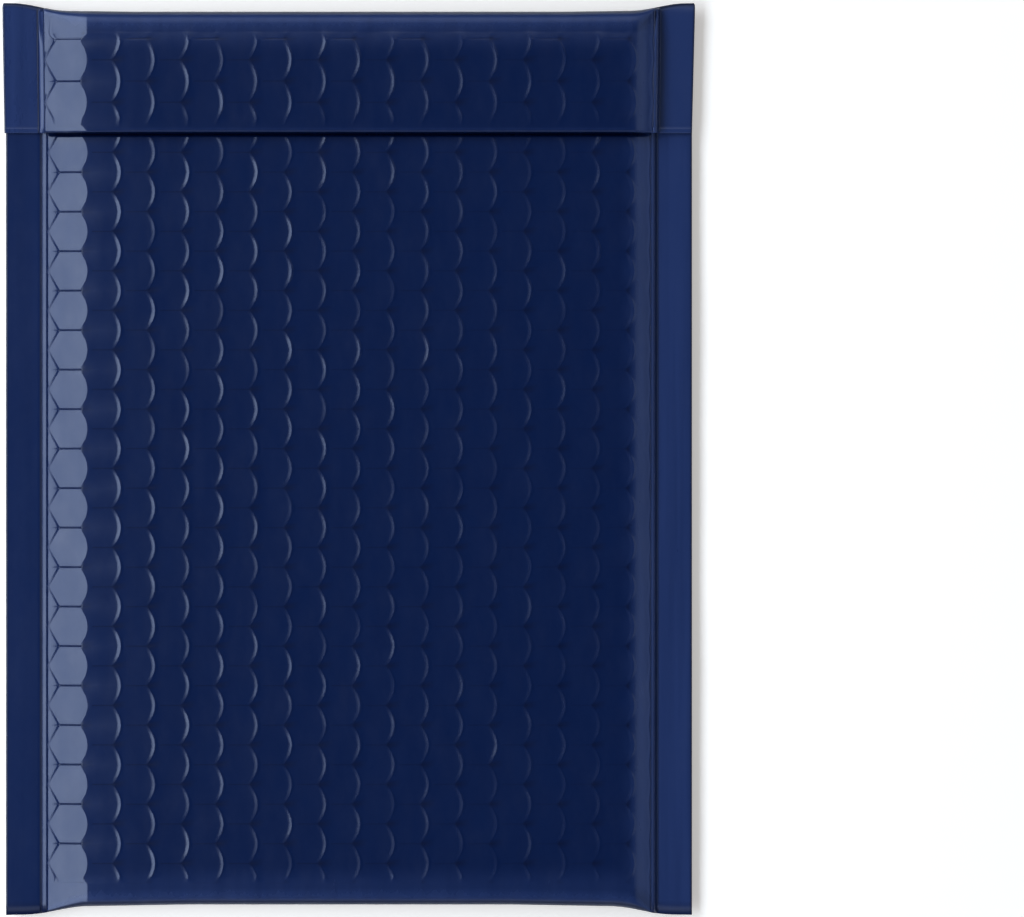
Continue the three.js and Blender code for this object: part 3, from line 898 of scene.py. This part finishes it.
# Paler film: the weld's own tone, which also serves as the colour of painted light.
FILM_WELD_AND_LIGHT = (0.0155, 0.0350, 0.1330, 1)
FILM_SHADE = (0.0002, 0.0028, 0.0240, 1)
FILM_SHEEN = (0.63, 0.74, 1.0, 1)
FILM_WRINKLE = ((1.0, 0.22, 1.0), 420.0, 3.0, 0.55)
FILM_PEEL = ((1.0, 1.0, 1.0), 900.0, 2.0, 0.5)
FILM_CLOUD = ((1.0, 0.5, 1.0), 130.0, 4.0, 0.6)
FILM_PATCH = ((1.0, 0.6, 1.0), 170.0, 3.0, 0.6)
FILM_STREAK = ((1.0, 0.03, 1.0), 260.0, 4.0, 0.6)
FILM_IOR = 1.55
FILM_ROUGHNESS = 0.24
WRINKLE_ROUGHNESS = 0.08
WRINKLE_SHARE = 0.7
FILM_BUMP = (0.32, 0.00008)
COAT_WEIGHT = 0.5
COAT_ROUGHNESS = 0.28
SEAL_STREAKS = (0.3, 1.4)
SEAL_ROUGHNESS = 0.06
DULL_FROM = 0.8
DULL_ROUGHNESS = 2.2
ADHESIVE_COLOUR = (0.62, 0.55, 0.36, 1)
ADHESIVE_PALE = (0.72, 0.66, 0.46, 1)
ADHESIVE_LUMPS = ((0.3, 1.0, 1.0), 300.0, 3.0, 0.5)
ADHESIVE_ROUGHNESS = (0.35, 0.2)
ADHESIVE_BUMP = (0.4, 0.0001)
LINER_COLOUR = (0.84, 0.84, 0.82, 1)
LINER_DARK = (0.78, 0.78, 0.76, 1)
LINER_FIBRE = ((0.4, 1.0, 1.0), 700.0, 4.0, 0.5)
LINER_ROUGHNESS = (0.42, 0.15)
LINER_BUMP = (0.2, 0.00005)


def film_material():
    """Satin polyethylene film, drawn lengthwise, paler where welded, with painted light and painted shade."""
    film = Shader("navy_film")
    wrinkle = film.noise(*FILM_WRINKLE)
    peel = film.noise(*FILM_PEEL)
    patch = film.noise(*FILM_PATCH)
    seal = film.attribute("seal")
    shade = film.attribute("shade")
    field = film.mix(film.noise(*FILM_CLOUD), FILM_FIELD, FILM_FIELD_PALE)
    streaks = SEAL_STREAKS[0] + film.noise(*FILM_STREAK) * SEAL_STREAKS[1]
    # Paleness by the seal attribute: the weld's own tone, and painted light.
    skin = film.mix(seal * streaks, field, FILM_WELD_AND_LIGHT)
    # Painted shade by the shade attribute, darkening the base colour.
    film.surface("Base Color", film.mix(shade, skin, FILM_SHADE))
    dull = film.node("ShaderNodeMath", {"operation": "MAXIMUM"}, [shade - DULL_FROM, 0.0])
    uneven = FILM_ROUGHNESS + (wrinkle - 0.5) * WRINKLE_ROUGHNESS
    film.surface("Roughness", uneven + seal * SEAL_ROUGHNESS + dull * DULL_ROUGHNESS)
    film.surface("IOR", FILM_IOR)
    film.surface("Coat Weight", patch * patch * COAT_WEIGHT)
    film.surface("Coat Roughness", COAT_ROUGHNESS)
    film.surface("Specular Tint", FILM_SHEEN)
    film.bump(*FILM_BUMP, wrinkle * WRINKLE_SHARE + peel * (1 - WRINKLE_SHARE))
    return film.material


def adhesive_material():
    glue = Shader("hot_melt_adhesive")
    lumps = glue.noise(*ADHESIVE_LUMPS)
    glue.surface("Base Color", glue.mix(lumps, ADHESIVE_COLOUR, ADHESIVE_PALE))
    glue.surface("Roughness", ADHESIVE_ROUGHNESS[0] + lumps * ADHESIVE_ROUGHNESS[1])
    glue.bump(*ADHESIVE_BUMP, lumps)
    return glue.material


def liner_material():
    paper = Shader("release_paper")
    fibre = paper.noise(*LINER_FIBRE)
    paper.surface("Base Color", paper.mix(fibre, LINER_COLOUR, LINER_DARK))
    paper.surface("Roughness", LINER_ROUGHNESS[0] + fibre * LINER_ROUGHNESS[1])
    paper.bump(*LINER_BUMP, fibre)
    return paper.material


def dress(node, material):
    """Gives a CAD node's slots that material."""
    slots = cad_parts[node].material_slots
    for index in range(len(slots)):
        slots[index].material = material


# Stage, light and camera.

FLOOR_COLOUR = (0.90, 0.90, 0.90, 1)
FLOOR_LIFT = (0.34, 0.32, 0.30, 1)
FLOOR_SIZE = 6.0
FLOOR_DROP = 0.0001
BLACK = (0, 0, 0, 1)
# Each lamp: angle off the vertical, turn round it, distance, level and leaning size, radiance, colour.
LAMPS = {
    "left_strip": (33, 180, 0.95, (2.0, 0.40), 4.4, (0.88, 0.95, 1.02)),
    "left_low": (50, 180, 1.0, (2.0, 0.25), 1.2, (0.95, 0.98, 1.0)),
    "right_fill": (49, 0, 1.2, (1.8, 0.6), 0.56, (0.84, 0.93, 1.0)),
    "top_fill": (42, 90, 1.2, (1.4, 0.7), 0.74, (0.95, 0.97, 1.0)),
    "bottom_fill": (60, 270, 1.3, (1.4, 0.6), 0.7, (0.95, 0.97, 1.0)),
}
WORLD_COLOUR = (1, 1, 1, 1)
WORLD_STRENGTH = 0.05
CAMERA_REACH = 20.0


def floor_material():
    """A matt pale table. The camera sees it a little lighter, as a white sweep, with its shadow kept."""
    pale = Shader("pale_floor")
    pale.surface("Base Color", FLOOR_COLOUR)
    pale.surface("Roughness", 0.9)
    pale.surface("Specular IOR Level", 0.0)
    seen = pale.node("ShaderNodeLightPath", output="Is Camera Ray")
    pale.surface("Emission Color", pale.mix(seen, BLACK, FLOOR_LIFT))
    pale.surface("Emission Strength", 1.0)
    return pale.material


def make_floor():
    bpy.ops.object.select_all(action="DESELECT")
    bpy.ops.mesh.primitive_plane_add(size=FLOOR_SIZE, location=(0, 0, -FLOOR_DROP))
    floor = bpy.context.object
    floor.name = "floor"
    floor.data.materials.append(floor_material())


def softbox(name, angle, turn, distance, size, radiance, colour):
    """An area lamp that faces the object, angle degrees off the vertical, on the side that turn gives."""
    lamp = bpy.data.lights.new(name, "AREA")
    lamp.shape = "RECTANGLE"
    lamp.size, lamp.size_y = size
    lamp.energy = radiance * math.pi * size[0] * size[1]
    lamp.color = colour
    box = bpy.data.objects.new(name, lamp)
    tilt = math.radians(angle)
    heading = math.radians(turn)
    towards = Vector((math.sin(tilt) * math.cos(heading), math.sin(tilt) * math.sin(heading), math.cos(tilt)))
    box.location = towards * distance
    box.rotation_euler = towards.to_track_quat("Z", "Y").to_euler()
    bpy.context.scene.collection.objects.link(box)


def make_lights():
    for name, settings in LAMPS.items():
        softbox(name, *settings)
    world = bpy.data.worlds.new("studio")
    world.use_nodes = True
    world.node_tree.nodes["Background"].inputs["Color"].default_value = WORLD_COLOUR
    world.node_tree.nodes["Background"].inputs["Strength"].default_value = WORLD_STRENGTH
    bpy.context.scene.world = world


def make_camera():
    """Looks straight down. The object sits left of the frame's middle, as it does in the photograph."""
    data = bpy.data.cameras.new("camera")
    data.sensor_width = SENSOR_WIDTH
    frame_width = FRAME_PIXELS[0] * METRES_PER_PIXEL
    data.lens = SENSOR_WIDTH * CAMERA_DISTANCE / frame_width
    data.clip_end = CAMERA_REACH
    camera = bpy.data.objects.new("camera", data)
    across = (FRAME_PIXELS[0] / 2 - OBJECT_CENTRE_PIXEL[0]) * METRES_PER_PIXEL
    along = (OBJECT_CENTRE_PIXEL[1] - FRAME_PIXELS[1] / 2) * METRES_PER_PIXEL
    camera.location = (across, along, CAMERA_DISTANCE)
    bpy.context.scene.collection.objects.link(camera)
    bpy.context.scene.camera = camera


make_camera()
make_lights()
make_floor()

web = make_web()
web.data.materials.append(film_material())
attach(web, "root")
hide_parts("envelope")

dress("adhesive_strip", adhesive_material())
dress("release_liner", liner_material())

bpy.context.scene.view_settings.view_transform = "Standard"
